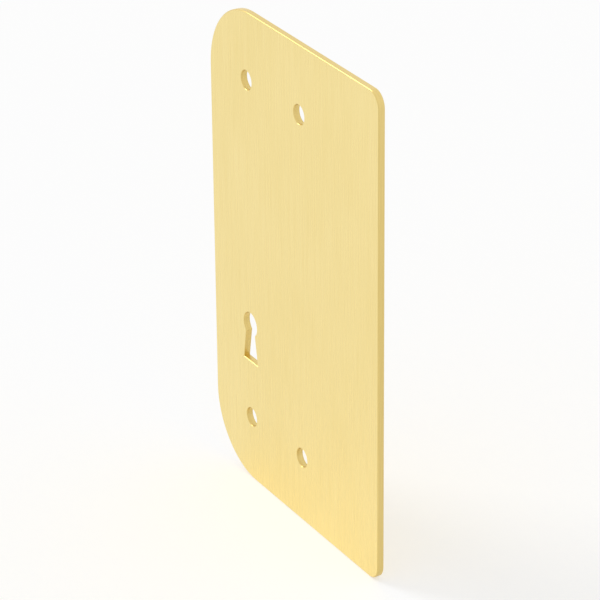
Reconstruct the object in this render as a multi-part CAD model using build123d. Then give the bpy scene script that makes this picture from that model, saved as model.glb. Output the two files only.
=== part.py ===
from build123d import *
from math import sqrt
import os

# Anti-thrust plate for a deadlock: a flat brass plate, fixed to the outside of an outward-opening door,
# whose plain side laps over the frame and covers the gap beside the lock bolt.
# The origin is the middle of the back face, which lies against the door. +Z is up and the front looks along -Y.
# The door side, with the fixings and the keyhole, is at -X. The side that laps over the frame is at +X.
# Every size is in millimetres.

# Outline of the plate
plate_height = 180.0
plate_width = 110.0
plate_thickness = 2.5
door_corner_radius = 27.0
frame_corner_radius = 5.5

# Line of the keyhole and of the first column of fixings, from the edge on the door side
lock_line_inset = 25.0

# Fixing holes, two columns of two
fixing_hole_diameter = 7.0
fixing_column_pitch = 35.0
fixing_end_margin = 25.0

# Keyhole, a round head over a slot that flares to a flat foot
keyhole_below_middle = 28.0
keyhole_head_diameter = 9.0
keyhole_neck_width = 5.8
keyhole_foot_width = 9.6
keyhole_height = 19.0

# Finish of the edges
front_edge_radius = 0.5
back_edge_chamfer = 0.2
hole_edge_chamfer = 0.2

# Places that follow from the sizes above, on the plate seen from the front
lock_line = lock_line_inset - plate_width / 2
fixing_columns = (lock_line, lock_line + fixing_column_pitch)
fixing_row = plate_height / 2 - fixing_end_margin


def outline():
    """Rectangle with two large corners on the door side and two small ones over the frame."""
    sheet = Rectangle(plate_width, plate_height)
    sheet = fillet(sheet.vertices().group_by(Axis.X)[0], door_corner_radius)
    return fillet(sheet.vertices().group_by(Axis.X)[-1], frame_corner_radius)


def fixing_holes():
    """Four plain round holes for the bolts that pass through the door."""
    hole = Circle(fixing_hole_diameter / 2)
    return [Pos(column, row) * hole for column in fixing_columns for row in (-fixing_row, fixing_row)]


def keyhole():
    """Keyhole with the centre of its round head at the origin."""
    head_radius = keyhole_head_diameter / 2
    half_neck = keyhole_neck_width / 2
    half_foot = keyhole_foot_width / 2
    neck_level = -sqrt(head_radius**2 - half_neck**2)
    foot_level = head_radius - keyhole_height
    slot = Polygon(
        (-half_neck, neck_level),
        (half_neck, neck_level),
        (half_foot, foot_level),
        (-half_foot, foot_level),
        align=None,
    )
    return Circle(head_radius) + slot


def face_edges(plate, end):
    """Rim and hole edges of the face at one end of the Y axis: 0 is the front and -1 the back."""
    face = plate.faces().sort_by(Axis.Y)[end]
    rim = face.outer_wire().edges()
    holes = [edge for wire in face.inner_wires() for edge in wire.edges()]
    return rim, holes


def anti_thrust_plate():
    """Sheet cut to the outline, pierced, then eased along every edge, most at the front."""
    pierced = outline() - fixing_holes() - Pos(lock_line, -keyhole_below_middle) * keyhole()
    plate = extrude(Plane.XZ * pierced, amount=plate_thickness)
    for end in (0, -1):
        plate = chamfer(face_edges(plate, end)[1], hole_edge_chamfer)
    plate = chamfer(face_edges(plate, -1)[0], back_edge_chamfer)
    return fillet(face_edges(plate, 0)[0], front_edge_radius)


os.makedirs("parts", exist_ok=True)
export_step(anti_thrust_plate(), "parts/anti_thrust_plate.step")
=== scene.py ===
from math import cos, radians, sin

import bpy
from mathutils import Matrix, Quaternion, Vector


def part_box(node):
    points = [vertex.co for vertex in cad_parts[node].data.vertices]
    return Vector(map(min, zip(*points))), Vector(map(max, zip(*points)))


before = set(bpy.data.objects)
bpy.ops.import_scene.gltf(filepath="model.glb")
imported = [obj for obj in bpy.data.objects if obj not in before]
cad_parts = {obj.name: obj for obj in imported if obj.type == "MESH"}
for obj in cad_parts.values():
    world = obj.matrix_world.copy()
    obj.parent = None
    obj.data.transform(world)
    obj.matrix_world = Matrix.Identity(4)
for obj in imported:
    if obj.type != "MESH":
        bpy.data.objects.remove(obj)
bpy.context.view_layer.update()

# The plate as it was packed. Lengths are in metres, in the plate's own frame, and angles in degrees.
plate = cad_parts["anti_thrust_plate"]
floor_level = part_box("anti_thrust_plate")[0].z

# Camera, looking down on the front from the side that laps over the frame
camera_azimuth = 59.58
camera_elevation = 26.45
camera_roll = -0.55
camera_distance = 1.115
camera_aim = Vector((0.00274, -0.00134, -0.00479))
camera_lens_mm = 196.0
camera_sensor_mm = 36.0

# Brass as linear colour, its lightest and deepest tone: bright front, edges and hole walls made deeper as
# painted shade, duller back
front_brass = ((0.965, 0.795, 0.365, 1.0), (0.91, 0.73, 0.295, 1.0))
# Edges and hole walls are painted darker than the brass itself, as painted shade that sets them off from
# the face
shaded_edge_brass = ((0.82, 0.64, 0.255, 1.0), (0.74, 0.56, 0.195, 1.0))
back_brass = ((0.895, 0.715, 0.31, 1.0), (0.825, 0.645, 0.25, 1.0))

# Clouds of tone over every surface, and their share of it beside the brushing
cloud_size = (0.035, 0.035, 0.05)
cloud_share = 0.35

# Roughness of the same surfaces, smoothest and roughest, and how far the brushing stretches a highlight
front_roughness = (0.20, 0.40)
edge_roughness = (0.26, 0.40)
back_roughness = (0.34, 0.50)
highlight_stretch = 0.5

# Brushing: fine grain and broader streaks run up both faces, and fine grain runs along the edges
grain_width = 0.00012
grain_length = 0.02
grain_depth = 0.0000012
streak_width = 0.0008
streak_length = 0.05
streak_share = 0.3

# A length far beyond the plate's own, along which a pattern doesn't change
unchanging = 1.0

# Range of a noise texture that most of its values fall in
noise_range = (0.3, 0.7)

# How far a normal lies along Y where a rounded edge starts to count as face, and where it is all face
flat_begins = 0.9
flat_whole = 0.99

# Studio: a matt floor lifted towards white, even light from all round and one wide lamp
white = (1.0, 1.0, 1.0, 1.0)
floor_colour = (0.80, 0.80, 0.80, 1.0)
floor_half_width = 8.0
floor_lift = 0.455
sky_light = 0.54
key_azimuth = -62.0
key_elevation = 36.0
key_distance = 2.0
key_spread = 24.0
key_strength = 0.6


def add_node(tree, kind, **values):
    """New shader node with its properties set by keyword."""
    node = tree.nodes.new(kind)
    for name, value in values.items():
        setattr(node, name, value)
    return node


def new_material(name):
    """Node material with its node tree and its Principled shader."""
    material = bpy.data.materials.new(name)
    material.use_nodes = True
    tree = material.node_tree
    return material, tree, tree.nodes["Principled BSDF"]


def feed(tree, socket, value):
    """Put a number, a colour or another node's output into an input socket."""
    if isinstance(value, bpy.types.NodeSocket):
        tree.links.new(value, socket)
    else:
        socket.default_value = value


def combine(tree, operation, first, second):
    """One step of arithmetic on two numbers or outputs."""
    node = add_node(tree, "ShaderNodeMath", operation=operation)
    feed(tree, node.inputs[0], first)
    feed(tree, node.inputs[1], second)
    return node.outputs["Value"]


def rise(tree, value, start, end):
    """Straight rise from 0 where the value is at start to 1 where it is at end, level beyond both."""
    node = add_node(tree, "ShaderNodeMapRange")
    feed(tree, node.inputs["Value"], value)
    feed(tree, node.inputs["From Min"], start)
    feed(tree, node.inputs["From Max"], end)
    return node.outputs["Result"]


def blend(tree, share, first, second):
    """Mix of two numbers or two outputs, all second where the share is 1."""
    node = add_node(tree, "ShaderNodeMix", data_type="FLOAT")
    feed(tree, node.inputs["Factor"], share)
    feed(tree, node.inputs["A"], first)
    feed(tree, node.inputs["B"], second)
    return node.outputs["Result"]


def blend_colours(tree, share, first, second):
    """Mix of two colours, all second where the share is 1."""
    node = add_node(tree, "ShaderNodeMix", data_type="RGBA")
    sockets = {socket.identifier: socket for socket in node.inputs}
    feed(tree, sockets["Factor_Float"], share)
    feed(tree, sockets["A_Color"], first)
    feed(tree, sockets["B_Color"], second)
    return {socket.identifier: socket for socket in node.outputs}["Result_Color"]


def noise(tree, place, lengths):
    """Noise from 0 to 1 whose blotches have the given length along each axis."""
    stretch = add_node(tree, "ShaderNodeVectorMath", operation="DIVIDE")
    feed(tree, stretch.inputs[0], place)
    feed(tree, stretch.inputs[1], lengths)
    node = add_node(tree, "ShaderNodeTexNoise")
    feed(tree, node.inputs["Vector"], stretch.outputs["Vector"])
    feed(tree, node.inputs["Scale"], 1.0)
    return rise(tree, node.outputs["Fac"], *noise_range)


def flat_faces(tree, normal):
    """Masks of the flat of the front and of the back, which fade out over the rounded edges."""
    parts = add_node(tree, "ShaderNodeSeparateXYZ")
    feed(tree, parts.inputs["Vector"], normal)
    on_front = rise(tree, parts.outputs["Y"], -flat_begins, -flat_whole)
    on_back = rise(tree, parts.outputs["Y"], flat_begins, flat_whole)
    return on_front, on_back


def brushing(tree, place, on_flat):
    """Lines from 0 to 1 that run up the flat faces and along the edges."""
    grain = noise(tree, place, (grain_width, unchanging, grain_length))
    streaks = noise(tree, place, (streak_width, unchanging, streak_length))
    edge_grain = noise(tree, place, (grain_length, grain_width, grain_length))
    return blend(tree, on_flat, edge_grain, blend(tree, streak_share, grain, streaks))


def across_brushing(tree, on_flat):
    """Direction square to the lines: along X on the flat faces and along Y on the edges."""
    direction = add_node(tree, "ShaderNodeCombineXYZ")
    feed(tree, direction.inputs["X"], on_flat)
    feed(tree, direction.inputs["Y"], combine(tree, "SUBTRACT", 1.0, on_flat))
    return direction.outputs["Vector"]


def by_surface(tree, mix, masks, share, front, edge, back):
    """Mix of each surface's pair of values by the share, put where that surface is."""
    on_front, on_back = masks
    front_or_edge = mix(tree, on_front, mix(tree, share, *edge), mix(tree, share, *front))
    return mix(tree, on_back, front_or_edge, mix(tree, share, *back))


def brass_material():
    """Satin brass, brushed up the faces and along the edges."""
    material, tree, shader = new_material("brushed_brass")
    coordinates = add_node(tree, "ShaderNodeTexCoord").outputs
    masks = flat_faces(tree, coordinates["Normal"])
    on_flat = combine(tree, "MAXIMUM", *masks)
    lines = brushing(tree, coordinates["Object"], on_flat)
    clouds = noise(tree, coordinates["Object"], cloud_size)
    tone = blend(tree, cloud_share, lines, clouds)

    # The edges and hole walls take a darker pair of tones here, which is painted shade
    colour = by_surface(tree, blend_colours, masks, tone, front_brass, shaded_edge_brass, back_brass)
    feed(tree, shader.inputs["Base Color"], colour)
    feed(tree, shader.inputs["Metallic"], 1.0)
    roughness = by_surface(tree, blend, masks, lines, front_roughness, edge_roughness, back_roughness)
    feed(tree, shader.inputs["Roughness"], roughness)
    feed(tree, shader.inputs["Anisotropic"], highlight_stretch)
    feed(tree, shader.inputs["Tangent"], across_brushing(tree, on_flat))

    bump = add_node(tree, "ShaderNodeBump")
    feed(tree, bump.inputs["Height"], lines)
    feed(tree, bump.inputs["Distance"], grain_depth)
    feed(tree, shader.inputs["Normal"], bump.outputs["Normal"])
    return material


def seen_directly(tree):
    """1 for what the camera sees, itself or by way of metal or glass, and 0 for light on matt surfaces."""
    ray = add_node(tree, "ShaderNodeLightPath").outputs
    mirrored = combine(tree, "MAXIMUM", ray["Is Glossy Ray"], ray["Is Transmission Ray"])
    return combine(tree, "MAXIMUM", ray["Is Camera Ray"], mirrored)


def floor_material():
    """Matt white, lifted towards pure white to the eye and still darkened by shadow."""
    material, tree, shader = new_material("floor_white")
    feed(tree, shader.inputs["Base Color"], floor_colour)
    feed(tree, shader.inputs["Specular IOR Level"], 0.0)
    feed(tree, shader.inputs["Emission Color"], white)
    lift = combine(tree, "MULTIPLY", seen_directly(tree), floor_lift)
    feed(tree, shader.inputs["Emission Strength"], lift)
    return material


def make_floor():
    """Square of floor at the foot of the plate."""
    half = floor_half_width
    corners = [(x, y, floor_level) for x, y in ((-half, -half), (half, -half), (half, half), (-half, half))]
    mesh = bpy.data.meshes.new("floor")
    mesh.from_pydata(corners, [], [(0, 1, 2, 3)])
    mesh.materials.append(floor_material())
    floor = bpy.data.objects.new("floor", mesh)
    bpy.context.scene.collection.objects.link(floor)


def make_world():
    """White all round to the eye, and a softer even light on matt surfaces."""
    world = bpy.data.worlds.new("studio")
    bpy.context.scene.world = world
    world.use_nodes = True
    tree = world.node_tree
    background = tree.nodes["Background"]
    feed(tree, background.inputs["Color"], white)
    feed(tree, background.inputs["Strength"], blend(tree, seen_directly(tree), sky_light, 1.0))


def add_facing(thing, target, azimuth, elevation, distance):
    """Add a lamp or camera that faces a point, from an angle off the front towards +X and an angle up."""
    turn = radians(azimuth)
    tilt = radians(elevation)
    outward = Vector((sin(turn) * cos(tilt), -cos(turn) * cos(tilt), sin(tilt)))
    thing.location = target + outward * distance
    thing.rotation_mode = "QUATERNION"
    thing.rotation_quaternion = (-outward).to_track_quat("-Z", "Y")
    bpy.context.scene.collection.objects.link(thing)


def make_key_light():
    """Wide soft light from high on the side of the fixings, which lights all the floor alike."""
    light = bpy.data.lights.new("key", "SUN")
    light.angle = radians(key_spread)
    light.energy = key_strength
    lamp = bpy.data.objects.new("key", light)
    add_facing(lamp, Vector(), key_azimuth, key_elevation, key_distance)


def make_camera():
    """Long lens aimed a little below the middle of the plate, rolled slightly about its own axis."""
    lens = bpy.data.cameras.new("camera")
    lens.lens = camera_lens_mm
    lens.sensor_width = camera_sensor_mm
    camera = bpy.data.objects.new("camera", lens)
    add_facing(camera, camera_aim, camera_azimuth, camera_elevation, camera_distance)
    roll = Quaternion((0, 0, 1), radians(camera_roll))
    camera.rotation_quaternion = camera.rotation_quaternion @ roll
    bpy.context.scene.camera = camera


plate.data.materials[0] = brass_material()
make_floor()
make_world()
make_key_light()
make_camera()
bpy.context.scene.view_settings.view_transform = "Standard"
